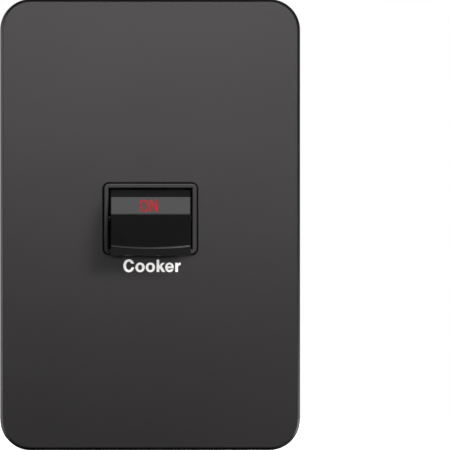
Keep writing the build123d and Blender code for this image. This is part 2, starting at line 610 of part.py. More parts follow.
# Earth terminal: a brass block riveted to the frame, with its own bore and screw
def make_earth_terminal():
    half = EARTH_WIDTH / 2
    bore_y = EARTH_DEPTH / 2
    solid = block((EARTH_X - half, EARTH_X + half), (0, EARTH_DEPTH), (EARTH_Z - half, EARTH_Z + half))
    solid = fillet(solid.edges().filter_by(Axis.Z), TERMINAL_ROUND)
    solid -= upright_rod(EARTH_BORE, EARTH_X, bore_y, EARTH_Z - half - 1, EARTH_Z + half + 1)
    solid -= rod(EARTH_SCREW + FIT_GAP / 3, EARTH_X, EARTH_Z, bore_y, EARTH_DEPTH + 1)
    solid += rod(EARTH_STUD, EARTH_X, EARTH_Z, -FRAME_SHEET, 0)
    head = -FRAME_SHEET - COVER_HEAD / 2
    return solid + rod(EARTH_STUD + RIVET_LIP, EARTH_X, EARTH_Z, head, -FRAME_SHEET)


def make_earth_screw():
    tip = EARTH_DEPTH / 2 + EARTH_BORE + 2 * CONTACT_GAP
    seat = EARTH_DEPTH + CLAMP_BACKOFF / 2
    back = seat + COVER_HEAD
    radius = SCREW_HEAD_RADIUS
    head = slotted(rod(radius, EARTH_X, EARTH_Z, seat, back), EARTH_X, EARTH_Z, back, radius)
    return head + rod(EARTH_SCREW, EARTH_X, EARTH_Z, tip, seat)


save("front_plate", make_front_plate())
save("rocker_surround", raised(make_surround()))
save("rocker", tipped(finish_rocker(make_rocker())))
save("switch_housing", raised(make_housing()))
save("rear_cover", raised(make_cover()))
save("mounting_frame", make_frame())
clip_high = make_clip(CLIP_HEIGHT)
clip_low = make_clip(-CLIP_HEIGHT)
save("plate_clips", *mirrored_pair(clip_high), *mirrored_pair(clip_low))
corners = [(x, z) for x in (-1, 1) for z in (-1, 1)]
save("housing_screws", *[raised(make_housing_screw(x * HOUSING_SCREW_X, z * HOUSING_SCREW_Z))
                         for x, z in corners])
save("cover_screws", *[raised(make_cover_screw(x * COVER_SCREW_X, z * COVER_SCREW_Z))
                       for x, z in corners])
save("earth_terminal", make_earth_terminal())
save("earth_screw", make_earth_screw())

resting = turned(make_seesaw(), HALF_SWING, FULCRUM_Y)
resting_tip = turned(make_moving_tip(), HALF_SWING, FULCRUM_Y)
lower_terminal = mirror(make_terminal(), Plane.XY)
lower_screw = mirror(make_clamp_screw(), Plane.XY)
for name, side in (("live", 1), ("neutral", -1)):
    place = Pos(side * POLE_OFFSET, 0, SWITCH_RISE)
    save(f"plunger_{name}", tipped(make_plunger(side * POLE_OFFSET)))
    save(f"plunger_spring_{name}", tipped(make_spring(side * POLE_OFFSET)))
    save(f"moving_contact_{name}", place * resting)
    save(f"moving_tip_{name}", place * resting_tip)
    save(f"fixed_contact_{name}", place * make_fixed_contact())
    save(f"fixed_tip_{name}", place * make_fixed_tip())
    save(f"fulcrum_{name}", place * make_fulcrum())
    save(f"supply_terminal_{name}", place * make_terminal())
    save(f"load_terminal_{name}", place * lower_terminal)
left = Pos(-POLE_OFFSET, 0, SWITCH_RISE)
right = Pos(POLE_OFFSET, 0, SWITCH_RISE)
save("supply_screws", left * make_clamp_screw(), right * make_clamp_screw())
save("load_screws", left * lower_screw, right * lower_screw)
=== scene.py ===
import json
import math

import bpy
from mathutils import Matrix, Vector


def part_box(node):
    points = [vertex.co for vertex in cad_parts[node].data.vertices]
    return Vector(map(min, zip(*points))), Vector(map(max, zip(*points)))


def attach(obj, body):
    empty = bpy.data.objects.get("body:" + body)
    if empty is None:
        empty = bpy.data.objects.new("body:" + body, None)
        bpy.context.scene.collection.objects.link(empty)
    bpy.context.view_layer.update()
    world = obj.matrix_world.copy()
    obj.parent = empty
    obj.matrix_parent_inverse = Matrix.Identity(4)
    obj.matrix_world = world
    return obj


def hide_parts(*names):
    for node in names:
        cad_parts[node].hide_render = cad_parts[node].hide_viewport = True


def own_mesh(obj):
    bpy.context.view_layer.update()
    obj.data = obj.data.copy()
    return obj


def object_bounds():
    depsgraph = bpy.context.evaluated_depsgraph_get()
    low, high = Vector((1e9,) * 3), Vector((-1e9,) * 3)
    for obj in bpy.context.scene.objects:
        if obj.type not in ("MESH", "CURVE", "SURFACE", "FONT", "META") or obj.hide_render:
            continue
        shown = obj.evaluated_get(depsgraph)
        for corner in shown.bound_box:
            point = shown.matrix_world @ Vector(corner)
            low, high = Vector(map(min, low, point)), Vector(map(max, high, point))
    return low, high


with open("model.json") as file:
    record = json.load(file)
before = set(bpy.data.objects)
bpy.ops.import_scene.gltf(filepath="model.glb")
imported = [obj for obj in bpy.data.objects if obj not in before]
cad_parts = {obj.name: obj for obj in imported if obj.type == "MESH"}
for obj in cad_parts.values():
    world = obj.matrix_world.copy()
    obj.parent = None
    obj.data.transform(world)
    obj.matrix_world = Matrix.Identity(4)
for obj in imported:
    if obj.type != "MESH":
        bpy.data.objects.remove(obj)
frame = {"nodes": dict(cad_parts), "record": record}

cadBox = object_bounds()
nodes = frame["nodes"]
poles = ("live", "neutral")
print("frame loaded:", len(nodes), "nodes")


# Colours are written as sRGB hex, the shaders want linear
def linearOf(hexCode):
    channels = []
    for start in (1, 3, 5):
        value = int(hexCode[start:start + 2], 16) / 255
        channels.append(value / 12.92 if value <= 0.04045 else ((value + 0.055) / 1.055) ** 2.4)
    return (*channels, 1.0)


# Object coordinates are in metres, so a pattern of so many millimetres repeats this often
def perMetre(millimetres):
    return 1000 / millimetres


# Heights of relief are written in thousandths of a millimetre
def metresOf(microns):
    return microns * 1e-6


# A Mix node has several sockets of one name: its share, its two numbers and its two colours go by place
mixShare, numberA, numberB, colourA, colourB = 0, 2, 3, 6, 7
numberOut, colourOut = 0, 2


# Adds one node, sets its properties and sockets, and wires what feeds it
def addNode(tree, kind, settings=None, links=None):
    node = tree.nodes.new(kind)
    for key, value in (settings or {}).items():
        if isinstance(key, str) and hasattr(node, key):
            setattr(node, key, value)
        else:
            node.inputs[key].default_value = value
    for key, source in (links or {}).items():
        tree.links.new(source, node.inputs[key])
    return node


# An empty material with its shader and the object coordinates that the patterns follow
def startFinish(name, settings):
    finish = bpy.data.materials.new(name)
    finish.use_nodes = True
    tree = finish.node_tree
    tree.nodes.clear()
    shader = addNode(tree, "ShaderNodeBsdfPrincipled", settings)
    addNode(tree, "ShaderNodeOutputMaterial", None, {"Surface": shader.outputs["BSDF"]})
    place = addNode(tree, "ShaderNodeTexCoord").outputs["Object"]
    return finish, tree, shader, place


# Polyester powder baked on pressed steel: dead matt dark grey, a fine orange peel, faint cloudiness.
# Its sides that turn away from the front and the left take a painted shade, near black and less rough
def mattAnthracitePowderCoat():
    coat = {"dark": "#383637", "light": "#3c3a3b", "ior": 1.5, "specular": 0.35, "smooth": 0.5,
            "rough": 0.62, "cloudMm": 28, "peelMm": 0.7, "peelMicrons": 9, "shadedSides": "#171717",
            "shadedSidesRough": 0.42, "unshadedToward": (-0.45, -0.89, -0.05), "shadedBelow": 0.4, "fullAbove": 0.85}
    finish, tree, shader, place = startFinish(
        "mattAnthracitePowderCoat", {"IOR": coat["ior"], "Specular IOR Level": coat["specular"]})
    cloud = addNode(tree, "ShaderNodeTexNoise", {"Scale": perMetre(coat["cloudMm"]), "Detail": 4.0},
                    {"Vector": place})
    peel = addNode(tree, "ShaderNodeTexNoise", {"Scale": perMetre(coat["peelMm"]), "Detail": 2.0},
                   {"Vector": place})
    tone = addNode(tree, "ShaderNodeMix",
                   {"data_type": "RGBA", colourA: linearOf(coat["dark"]), colourB: linearOf(coat["light"])},
                   {mixShare: cloud.outputs["Fac"]})
    # Painted shade: the less a face turns to the front and the left, the more it takes the near-black shade
    # colour
    facing = addNode(tree, "ShaderNodeVectorMath", {"operation": "DOT_PRODUCT", 1: coat["unshadedToward"]},
                     {0: place.node.outputs["Normal"]})
    powder = addNode(tree, "ShaderNodeMapRange",
                     {"From Min": coat["shadedBelow"], "From Max": coat["fullAbove"]},
                     {"Value": facing.outputs["Value"]})
    cover = addNode(tree, "ShaderNodeMix", {"data_type": "RGBA", colourA: linearOf(coat["shadedSides"])},
                    {mixShare: powder.outputs["Result"], colourB: tone.outputs[colourOut]})
    gloss = addNode(tree, "ShaderNodeMapRange", {"To Min": coat["smooth"], "To Max": coat["rough"]},
                    {"Value": peel.outputs["Fac"]})
    shine = addNode(tree, "ShaderNodeMix", {"data_type": "FLOAT", numberA: coat["shadedSidesRough"]},
                    {mixShare: powder.outputs["Result"], numberB: gloss.outputs["Result"]})
    relief = addNode(tree, "ShaderNodeBump", {"Strength": 0.5, "Distance": metresOf(coat["peelMicrons"])},
                     {"Height": peel.outputs["Fac"]})
    tree.links.new(cover.outputs[colourOut], shader.inputs["Base Color"])
    tree.links.new(shine.outputs[numberOut], shader.inputs["Roughness"])
    tree.links.new(relief.outputs["Normal"], shader.inputs["Normal"])
    return finish


# A moulded plastic: a fine tool texture, filler that mottles the colour a little, rubbed gloss in patches.
# What lies between two planes across one axis may take a painted shade, darker and matter, where the
# moulding lies recessed or in a gap
def mouldedPlastic(name, look, shaded=None):
    finish, tree, shader, place = startFinish(name, {"IOR": look["ior"]})
    flow = addNode(tree, "ShaderNodeTexNoise", {"Scale": perMetre(look["flowMm"]), "Detail": 3.0,
                                                "Distortion": 0.6}, {"Vector": place})
    grit = addNode(tree, "ShaderNodeTexNoise", {"Scale": perMetre(look["gritMm"]), "Detail": 2.0},
                   {"Vector": place})
    tone = addNode(tree, "ShaderNodeMix",
                   {"data_type": "RGBA", colourA: linearOf(look["dark"]), colourB: linearOf(look["light"])},
                   {mixShare: flow.outputs["Fac"]})
    gloss = addNode(tree, "ShaderNodeMapRange", {"To Min": look["smooth"], "To Max": look["rough"]},
                    {"Value": flow.outputs["Fac"]})
    relief = addNode(tree, "ShaderNodeBump", {"Strength": 0.4, "Distance": metresOf(look["gritMicrons"])},
                     {"Height": grit.outputs["Fac"]})
    colour, shine = tone.outputs[colourOut], gloss.outputs["Result"]
    # Painted shade between the two planes: a darker colour, and a matter finish
    if shaded:
        start, end = shaded["between"]
        axes = addNode(tree, "ShaderNodeSeparateXYZ", None, {"Vector": place})
        within = addNode(tree, "ShaderNodeMath", {"operation": "COMPARE", 1: (start + end) / 2,
                                                  2: (end - start) / 2}, {0: axes.outputs[shaded["axis"]]})
        colour = addNode(tree, "ShaderNodeMix", {"data_type": "RGBA", colourB: linearOf(shaded["colour"])},
                         {mixShare: within.outputs["Value"], colourA: colour}).outputs[colourOut]
        shine = addNode(tree, "ShaderNodeMix", {"data_type": "FLOAT", numberB: shaded["roughness"]},
                        {mixShare: within.outputs["Value"], numberA: shine}).outputs[numberOut]
    tree.links.new(colour, shader.inputs["Base Color"])
    tree.links.new(shine, shader.inputs["Roughness"])
    tree.links.new(relief.outputs["Normal"], shader.inputs["Normal"])
    return finish


# A metal: rolling or turning lines drawn out along one axis, and a slow change of tone from handling.
# Where it has any, a painted shade darkens creases narrower than a given size
def workedMetal(name, look):
    finish, tree, shader, place = startFinish(name, {"Metallic": 1.0})
    stretch = addNode(tree, "ShaderNodeMapping", {"Scale": look["stretch"]}, {"Vector": place})
    lines = addNode(tree, "ShaderNodeTexNoise", {"Scale": perMetre(look["lineMm"]), "Detail": 3.0},
                    {"Vector": stretch.outputs["Vector"]})
    cloud = addNode(tree, "ShaderNodeTexNoise", {"Scale": perMetre(look["cloudMm"]), "Detail": 3.0},
                    {"Vector": place})
    tone = addNode(tree, "ShaderNodeMix",
                   {"data_type": "RGBA", colourA: linearOf(look["dark"]), colourB: linearOf(look["light"])},
                   {mixShare: cloud.outputs["Fac"]})
    gloss = addNode(tree, "ShaderNodeMapRange", {"To Min": look["smooth"], "To Max": look["rough"]},
                    {"Value": lines.outputs["Fac"]})
    relief = addNode(tree, "ShaderNodeBump", {"Strength": 0.3, "Distance": metresOf(look["lineMicrons"])},
                     {"Height": lines.outputs["Fac"]})
    colour = tone.outputs[colourOut]
    # Painted shade in the creases, darkened by ambient occlusion
    if "creaseShade" in look:
        crease = addNode(tree, "ShaderNodeAmbientOcclusion",
                         {"samples": 8, "Distance": look["creaseShadeMm"] / 1000})
        unshadedShare = addNode(tree, "ShaderNodeMapRange",
                        {"From Min": look["fullShadeBelow"], "From Max": look["unshadedShareAbove"]},
                        {"Value": crease.outputs["AO"]})
        colour = addNode(tree, "ShaderNodeMix", {"data_type": "RGBA", colourA: linearOf(look["creaseShade"])},
                         {mixShare: unshadedShare.outputs["Result"], colourB: colour}).outputs[colourOut]
    tree.links.new(colour, shader.inputs["Base Color"])
    tree.links.new(gloss.outputs["Result"], shader.inputs["Roughness"])
    tree.links.new(relief.outputs["Normal"], shader.inputs["Normal"])
    return finish


# Pad-printed ink: a thin even film, slightly starved where the pad lifted
def padPrintInk(name, full, starved):
    ink = {"ior": 1.48, "roughness": 0.45, "specular": 0.3, "starveMm": 0.5, "starvedBelow": 0.35,
           "fullAbove": 0.55, "filmMicrons": 4}
    finish, tree, shader, place = startFinish(
        name, {"IOR": ink["ior"], "Roughness": ink["roughness"], "Specular IOR Level": ink["specular"]})
    starve = addNode(tree, "ShaderNodeTexNoise", {"Scale": perMetre(ink["starveMm"]), "Detail": 3.0},
                     {"Vector": place})
    cover = addNode(tree, "ShaderNodeMapRange",
                    {"From Min": ink["starvedBelow"], "From Max": ink["fullAbove"]},
                    {"Value": starve.outputs["Fac"]})
    tone = addNode(tree, "ShaderNodeMix", {"data_type": "RGBA", colourA: linearOf(starved),
                                           colourB: linearOf(full)}, {mixShare: cover.outputs["Result"]})
    relief = addNode(tree, "ShaderNodeBump", {"Strength": 0.3, "Distance": metresOf(ink["filmMicrons"])},
                     {"Height": starve.outputs["Fac"]})
    tree.links.new(tone.outputs[colourOut], shader.inputs["Base Color"])
    tree.links.new(relief.outputs["Normal"], shader.inputs["Normal"])
    return finish


powderCoat = mattAnthracitePowderCoat()

# Polycarbonate from a polished tool: deep black that shows only what it mirrors. The crown above the
# sloping face, recessed under the surround, takes a painted shade: blacker, and matt
glossBlack = mouldedPlastic("glossBlackPolycarbonate", {
    "dark": "#0f0f10", "light": "#141415", "ior": 1.58, "flowMm": 6, "gritMm": 0.35, "gritMicrons": 2,
    "smooth": 0.16, "rough": 0.22},
    {"axis": "Z", "between": (0.00895, 0.02), "colour": "#050506", "roughness": 0.42})

# ABS, satin dark grey, a touch off the plate's grey: below the plate's face the moulding takes a
# painted shade, near black and matt, so that the gap round it reads as a black line
satinGrey = mouldedPlastic("satinDarkGreyAbs", {
    "dark": "#3b3a3c", "light": "#414042", "ior": 1.53, "flowMm": 5, "gritMm": 0.3, "gritMicrons": 4,
    "smooth": 0.34, "rough": 0.44},
    {"axis": "Y", "between": (-0.0056, 0.02), "colour": "#09090a", "roughness": 0.7})

# Mineral-filled thermoset, pressed: charcoal with pale filler showing through
charcoalThermoset = mouldedPlastic("mattCharcoalThermoset", {
    "dark": "#27272a", "light": "#38383b", "ior": 1.6, "flowMm": 1.4, "gritMm": 0.4, "gritMicrons": 12,
    "smooth": 0.45, "rough": 0.62})

# Glass-filled nylon for the cover: greyer, with short fibres that dull the gloss
greyNylon = mouldedPlastic("glassFilledGreyNylon", {
    "dark": "#3d3e41", "light": "#4b4c4f", "ior": 1.53, "flowMm": 2.2, "gritMm": 0.5, "gritMicrons": 14,
    "smooth": 0.5, "rough": 0.66})

# Unfilled nylon for the plungers: milky, waxy
naturalNylon = mouldedPlastic("naturalNylon", {
    "dark": "#d6d2c4", "light": "#e6e3d8", "ior": 1.53, "flowMm": 3, "gritMm": 0.4, "gritMicrons": 3,
    "smooth": 0.35, "rough": 0.5})

# Bright zinc on cold-rolled strip: bluish silver, rolling lines up and down, dulled by handling
zincPlate = workedMetal("brightZincPlatedSteel", {
    "dark": "#a9adb3", "light": "#c8cbcf", "lineMm": 0.5, "stretch": (1.0, 1.0, 0.04), "cloudMm": 9,
    "smooth": 0.24, "rough": 0.42, "lineMicrons": 3})

# Zinc on cold-headed screws: the same plate with no rolling direction, and painted shade down the slots
zincScrew = workedMetal("zincPlatedScrewSteel", {
    "dark": "#a3a6ab", "light": "#c4c7cb", "lineMm": 0.6, "stretch": (1.0, 1.0, 1.0), "cloudMm": 2,
    "smooth": 0.22, "rough": 0.38, "lineMicrons": 2,
    "creaseShade": "#3a3733", "creaseShadeMm": 1.0, "fullShadeBelow": 0.3, "unshadedShareAbove": 0.8})

# Hardened spring strip and wire: darker, drawn or rolled bright
springSteel = workedMetal("hardenedSpringSteel", {
    "dark": "#7d8086", "light": "#9b9ea3", "lineMm": 0.3, "stretch": (1.0, 1.0, 0.1), "cloudMm": 5,
    "smooth": 0.2, "rough": 0.34, "lineMicrons": 2})

# Machined brass bar: yellow, fine cutter lines across the bar, a little tarnish
machinedBrass = workedMetal("machinedBrass", {
    "dark": "#b08d4a", "light": "#d8b871", "lineMm": 0.35, "stretch": (0.06, 1.0, 1.0), "cloudMm": 4,
    "smooth": 0.18, "rough": 0.34, "lineMicrons": 4})

# Rolled brass strip: a redder yellow than the bar, lines along the strip, oxide clouds
rolledBrass = workedMetal("rolledBrassStrip", {
    "dark": "#a17f45", "light": "#c9a565", "lineMm": 0.35, "stretch": (1.0, 1.0, 0.05), "cloudMm": 3,
    "smooth": 0.2, "rough": 0.36, "lineMicrons": 3})

# Copper blades with a flash of silver, tarnished: warm grey
silveredCopper = workedMetal("silverFlashedCopper", {
    "dark": "#77726b", "light": "#a39d94", "lineMm": 0.35, "stretch": (1.0, 1.0, 0.05), "cloudMm": 3,
    "smooth": 0.24, "rough": 0.4, "lineMicrons": 3})

# Silver contact rivets: pale, slightly sintered face
silverTip = workedMetal("sinteredSilver", {
    "dark": "#c9c8c3", "light": "#e4e3df", "lineMm": 0.25, "stretch": (1.0, 1.0, 1.0), "cloudMm": 1.2,
    "smooth": 0.26, "rough": 0.42, "lineMicrons": 3})

whiteInk = padPrintInk("whitePadPrintInk", "#fdfcfa", "#f1f0ed")
redInk = padPrintInk("redPadPrintInk", "#9c2328", "#801b20")
paleInk = padPrintInk("paleGreyRolledInk", "#c4c4c1", "#a3a3a0")
darkInk = padPrintInk("darkMarkingInk", "#2a2a2c", "#3c3c3e")
print("finishes mixed:", len(bpy.data.materials))

# Which finish each CAD piece has
finishOf = {
    "front_plate": powderCoat,
    "rocker_surround": satinGrey,
    "rocker": glossBlack,
    "switch_housing": charcoalThermoset,
    "rear_cover": greyNylon,
    "mounting_frame": zincPlate,
    "plate_clips": springSteel,
    "housing_screws": zincScrew,
    "cover_screws": zincScrew,
    "supply_screws": zincScrew,
    "load_screws": zincScrew,
    "earth_screw": zincScrew,
    "earth_terminal": machinedBrass,
}
for pole in poles:
    finishOf["plunger_" + pole] = naturalNylon
    finishOf["plunger_spring_" + pole] = springSteel
    finishOf["moving_contact_" + pole] = silveredCopper
    finishOf["fixed_contact_" + pole] = rolledBrass
    finishOf["fulcrum_" + pole] = rolledBrass
    finishOf["moving_tip_" + pole] = silverTip
    finishOf["fixed_tip_" + pole] = silverTip
    finishOf["supply_terminal_" + pole] = machinedBrass
    finishOf["load_terminal_" + pole] = machinedBrass
for name, piece in nodes.items():
    piece.data.materials.clear()
    piece.data.materials.append(finishOf[name])
print("CAD pieces finished:", len(finishOf))


# Points along part of an ellipse, degrees, either way round
def sweep(centre, radii, start, end, steps=28):
    points = []
    for i in range(steps + 1):
        angle = math.radians(start + (end - start) * i / steps)
        points.append((centre[0] + radii[0] * math.cos(angle), centre[1] + radii[1] * math.sin(angle)))
    return points


# A rounded box, for the squared letters of the rocker's mark
def roundedBox(left, low, right, high, radius):
    return (sweep((right - radius, low + radius), (radius, radius), -90, 0, 8)
            + sweep((right - radius, high - radius), (radius, radius), 0, 90, 8)
            + sweep((left + radius, high - radius), (radius, radius), 90, 180, 8)
            + sweep((left + radius, low + radius), (radius, radius), 180, 270, 8))


# Letters are drawn in thousandths of the type size: each has its step and its outlines
typeUnits = 1000

# Bold grotesque letters, their capitals 718 high
wordGlyphs = {
    "C": (711, [sweep((364, 359), (324, 382), 20, 346, 48) + sweep((364, 359), (160, 242), 340, 30, 40)]),
    "o": (602, [sweep((306, 266), (276, 284), 0, 360, 48), sweep((306, 266), (118, 158), 0, 360, 40)]),
    "k": (548, [[(69, 0), (226, 0), (226, 160), (268, 205), (388, 0), (572, 0), (372, 335), (560, 532),
                 (371, 532), (226, 362), (226, 718), (69, 718)]]),
    "e": (548, [[(530, 214)] + sweep((276, 266), (255, 284), 0, 338, 48)
                + sweep((276, 266), (106, 160), 322, 198, 24),
                sweep((276, 326), (102, 108), 0, 180, 24)]),
    "r": (383, [[(64, 0), (222, 0), (222, 262)] + sweep((342, 262), (120, 134), 180, 90, 14)
                + [(379, 396), (379, 546), (352, 548)] + sweep((352, 388), (150, 160), 90, 158, 10)
                + [(212, 448), (212, 532), (64, 532)]]),
}

# Condensed bold capitals and the earth sign for the small marks, 1000 high
markGlyphs = {
    "O": (760, [roundedBox(40, 0, 700, 1000, 230), roundedBox(215, 160, 525, 840, 120)]),
    "N": (760, [[(50, 0), (220, 0), (220, 560), (510, 0), (690, 0), (690, 1000), (520, 1000), (520, 440),
                 (230, 1000), (50, 1000)]]),
    "L": (640, [[(70, 0), (600, 0), (600, 170), (260, 170), (260, 1000), (70, 1000)]]),
    "earth": (1000, [[(80, 380), (920, 380), (920, 490), (555, 490), (555, 1000), (445, 1000), (445, 490),
                      (80, 490)],
                     [(230, 190), (770, 190), (770, 300), (230, 300)],
                     [(380, 0), (620, 0), (620, 110), (380, 110)]]),
}


# Letters laid side by side from the left, about their own middle, in metres
def setLetters(text, glyphs, size):
    pen = 0.0
    outlines = []
    for letter in text:
        step, shapes = glyphs[letter]
        outlines += [[(pen + x, y) for x, y in shape] for shape in shapes]
        pen += step
    xs = [x for outline in outlines for x, _ in outline]
    ys = [y for outline in outlines for _, y in outline]
    midX, midY = (min(xs) + max(xs)) / 2, (min(ys) + max(ys)) / 2
    return [[((x - midX) * size / typeUnits, (y - midY) * size / typeUnits) for x, y in outline]
            for outline in outlines]


# A curve made into a mesh piece of the scene, in its finish
def pieceFromCurve(name, curve, finish):
    holder = bpy.data.objects.new(name + "Curve", curve)
    mesh = bpy.data.meshes.new_from_object(holder)
    bpy.data.objects.remove(holder)
    bpy.data.curves.remove(curve)
    mesh.materials.append(finish)
    piece = bpy.data.objects.new(name, mesh)
    bpy.context.scene.collection.objects.link(piece)
    return piece


# A thin flat film or a raised moulding cut to closed outlines
def cutFilm(name, outlines, thickness, finish):
    curve = bpy.data.curves.new(name, "CURVE")
    curve.dimensions = "2D"
    curve.fill_mode = "BOTH"
    curve.extrude = thickness / 2
    for outline in outlines:
        spline = curve.splines.new("POLY")
        spline.points.add(len(outline) - 1)
        for point, (x, y) in zip(spline.points, outline):
            point.co = (x, y, 0, 1)
        spline.use_cyclic_u = True
    return pieceFromCurve(name, curve, finish)


# A film's middle stands this share of its thickness off the surface, so that its back is just in it
filmSeat = 0.4
# Lines that look for a surface start this far from the wall, clear of the part
lookFrom = 0.2


# Lays a film upright where a straight line from the front or the back first meets a CAD piece
def layOn(piece, node, x, z, thickness, fromBack=False):
    side = 1 if fromBack else -1
    met, where, facing, _ = nodes[node].ray_cast(Vector((x, side * lookFrom, z)), Vector((0, -side, 0)))
    if not met:
        raise RuntimeError("nothing of " + node + " at " + str((x, z)))
    right = Vector((0, 0, 1)).cross(facing).normalized()
    up = facing.cross(right)
    turn = Matrix((right, up, facing)).transposed().to_4x4()
    piece.data.transform(Matrix.Translation(where + facing * thickness * filmSeat) @ turn)


# The function word under the switch: white, 4 mm capitals
functionWord = {"text": "Cooker", "capital": 0.0040, "capitalShare": 0.718, "x": 0.00052, "z": -0.01338,
                "thick": 0.00003}
wordSize = functionWord["capital"] / functionWord["capitalShare"]
wordOutlines = setLetters(functionWord["text"], wordGlyphs, wordSize)
word = cutFilm("functionWord", wordOutlines, functionWord["thick"], whiteInk)
layOn(word, "front_plate", functionWord["x"], functionWord["z"], functionWord["thick"])
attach(word, "base")

# The red mark on the rocker's sloping upper face
onMark = {"text": "ON", "capital": 0.00418, "x": -0.00053, "z": 0.00617, "thick": 0.00003}
mark = cutFilm("onMark", setLetters(onMark["text"], markGlyphs, onMark["capital"]), onMark["thick"], redInk)
layOn(mark, "rocker", onMark["x"], onMark["z"], onMark["thick"])
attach(mark, "rocker")
print("printed marks laid")

# Terminal letters raised on the cover's back beside the clamp screw holes, their tops rolled with pale ink
terminalMarks = {"capital": 0.0036, "thick": 0.0003, "fromScrew": 0.0085}
for pole, letter in zip(poles, "LN"):
    outlines = setLetters(letter, markGlyphs, terminalMarks["capital"])
    for row, inward in (("supply", -1), ("load", 1)):
        low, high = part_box(row + "_terminal_" + pole)
        at = (low + high) / 2
        raised = cutFilm(row + "Letter" + letter, outlines, terminalMarks["thick"], paleInk)
        letterZ = at.z + inward * terminalMarks["fromScrew"]
        layOn(raised, "rear_cover", at.x, letterZ, terminalMarks["thick"], True)
        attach(raised, "base")
print("terminal letters raised")

# The earth sign, inked on the frame above its terminal
earthSign = {"height": 0.0048, "thick": 0.00004, "above": 0.0042}
low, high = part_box("earth_terminal")
signOutlines = setLetters(["earth"], markGlyphs, earthSign["height"])
sign = cutFilm("earthSign", signOutlines, earthSign["thick"], darkInk)
layOn(sign, "mounting_frame", (low.x + high.x) / 2, high.z + earthSign["above"], earthSign["thick"], True)
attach(sign, "base")
print("earth sign inked")


# How far a CAD piece reaches along a direction, from its lowest point to its highest
def spanOf(node, way):
    reach = [vertex.co.dot(way) for vertex in nodes[node].data.vertices]
    return min(reach), max(reach)


# A coil of round wire with closed ends, standing on the origin, of a given outside width and length
def windCoil(name, look, width, length):
    wire, closed = look["wire"], look["closed"]
    openTurns = look["turns"] - 2 * closed
    radius = (width - wire) / 2
    rise = length - wire - 2 * look["clear"]
    pitch = (rise - 2 * closed * wire) / openTurns
    curve = bpy.data.curves.new(name, "CURVE")
    curve.dimensions = "3D"
    curve.bevel_depth = wire / 2
    curve.bevel_resolution = look["roundness"]
    curve.use_fill_caps = True
    spline = curve.splines.new("POLY")
    spline.points.add(look["turns"] * look["steps"])
    for i, point in enumerate(spline.points):
        turned = i / look["steps"]
        active = min(max(turned - closed, 0), openTurns)
        height = wire / 2 + look["clear"] + active * pitch + (turned - active) * wire
        angle = math.tau * turned
        point.co = (radius * math.cos(angle), radius * math.sin(angle), height, 1)
    return curve


# Plunger springs: round wire in place of the plain square-wire coils, carried with the rocker
springLook = {"wire": 0.00045, "turns": 6, "closed": 1, "steps": 20, "roundness": 2, "clear": 0.00002}
joints = {joint["name"]: joint for joint in frame["record"]["behaviour"]["joints"]}
for pole in poles:
    node = "plunger_spring_" + pole
    slide = joints[pole + "_plunger_slide"]
    along = Vector(slide["axis"]).normalized()
    across = Vector((1, 0, 0))
    upward = along.cross(across)
    left, right = spanOf(node, across)
    under, over = spanOf(node, upward)
    tail, front = spanOf(node, along)
    wound = windCoil(node + "Wire", springLook, right - left, front - tail)
    coil = pieceFromCurve(pole + "PlungerCoil", wound, springSteel)
    foot = across * (left + right) / 2 + upward * (under + over) / 2 + along * tail
    turn = Matrix((across, upward, along)).transposed().to_4x4()
    coil.data.transform(Matrix.Translation(foot) @ turn)
    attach(coil, "rocker")
    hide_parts(node)
    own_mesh(coil)
print("plunger springs wound")

# Camera level with the plate's middle, a little round to the left, aimed right of it as in the photograph
shot = {"distance": 4.0, "leftDegrees": 1.5, "x": 0.0243, "z": -0.0001, "across": 0.14653, "sensor": 36.0,
        "clipStart": 0.01}
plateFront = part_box("front_plate")[0].y
aside = math.radians(shot["leftDegrees"])
cameraData = bpy.data.cameras.new("camera")
cameraData.sensor_width = shot["sensor"]
cameraData.lens = shot["sensor"] * shot["distance"] / shot["across"]
cameraData.clip_start = shot["clipStart"]
camera = bpy.data.objects.new("camera", cameraData)
camera.location = (shot["x"] - shot["distance"] * math.sin(aside),
                   plateFront - shot["distance"] * math.cos(aside), shot["z"])
camera.rotation_euler = (math.radians(90), 0, -aside)
bpy.context.scene.collection.objects.link(camera)
bpy.context.scene.camera = camera
print("camera set")


# A soft box: where it hangs, what it looks at, its two sides, its brightness, how wide its grid lets it
# spread, and whether gloss mirrors it
def softBox(name, lamp, mirrored=True):
    data = bpy.data.lights.new(name, "AREA")
    data.shape = "RECTANGLE"
    data.size, data.size_y = lamp["wide"], lamp["tall"]
    data.energy = lamp["brightness"] * math.pi * lamp["wide"] * lamp["tall"]
    data.spread = math.radians(lamp.get("spread", 180))
    box = bpy.data.objects.new(name, data)
    box.location = lamp["at"]
    box.rotation_euler = (Vector(lamp["look"]) - Vector(lamp["at"])).to_track_quat("-Z", "Y").to_euler()
    box.visible_camera = False
    box.visible_glossy = mirrored
    bpy.context.scene.collection.objects.link(box)
    return box


# Lets a lamp light one piece alone, or everything but that piece
def linkTo(lamp, piece, state):
    chosen = bpy.data.collections.new(lamp.name + "Link")
    chosen.objects.link(piece)
    chosen.collection_objects[0].light_linking.link_state = state
    lamp.light_linking.receiver_collection = chosen


# Key, high at the right, unseen in gloss: throws the rocker's shadow down to the left
keyBox = softBox("keyBox", {"at": (0.58, -0.465, 0.51), "look": (0.0, 0.0, 0.0), "wide": 0.3, "tall": 0.3,
                            "brightness": 29.0}, False)
linkTo(keyBox, nodes["rocker_surround"], "EXCLUDE")
# Gridded, before the top of the plate, unseen in gloss: the light falls off down the plate from here
frontWash = softBox("frontWash", {"at": (-0.02, -0.34, 0.06), "look": (-0.02, 0.0, 0.11), "wide": 0.32,
                                  "tall": 0.08, "brightness": 2.4, "spread": 60}, False)
linkTo(frontWash, nodes["rocker_surround"], "EXCLUDE")
# Steeper, for the surround alone in their place: the rocker darkens only the lower part of its left bar
surroundLamp = softBox("surroundLamp", {"at": (0.178, -0.396, 0.791), "look": (0.0, 0.0, 0.0), "wide": 0.2,
                                        "tall": 0.2, "brightness": 138.0}, False)
linkTo(surroundLamp, nodes["rocker_surround"], "INCLUDE")
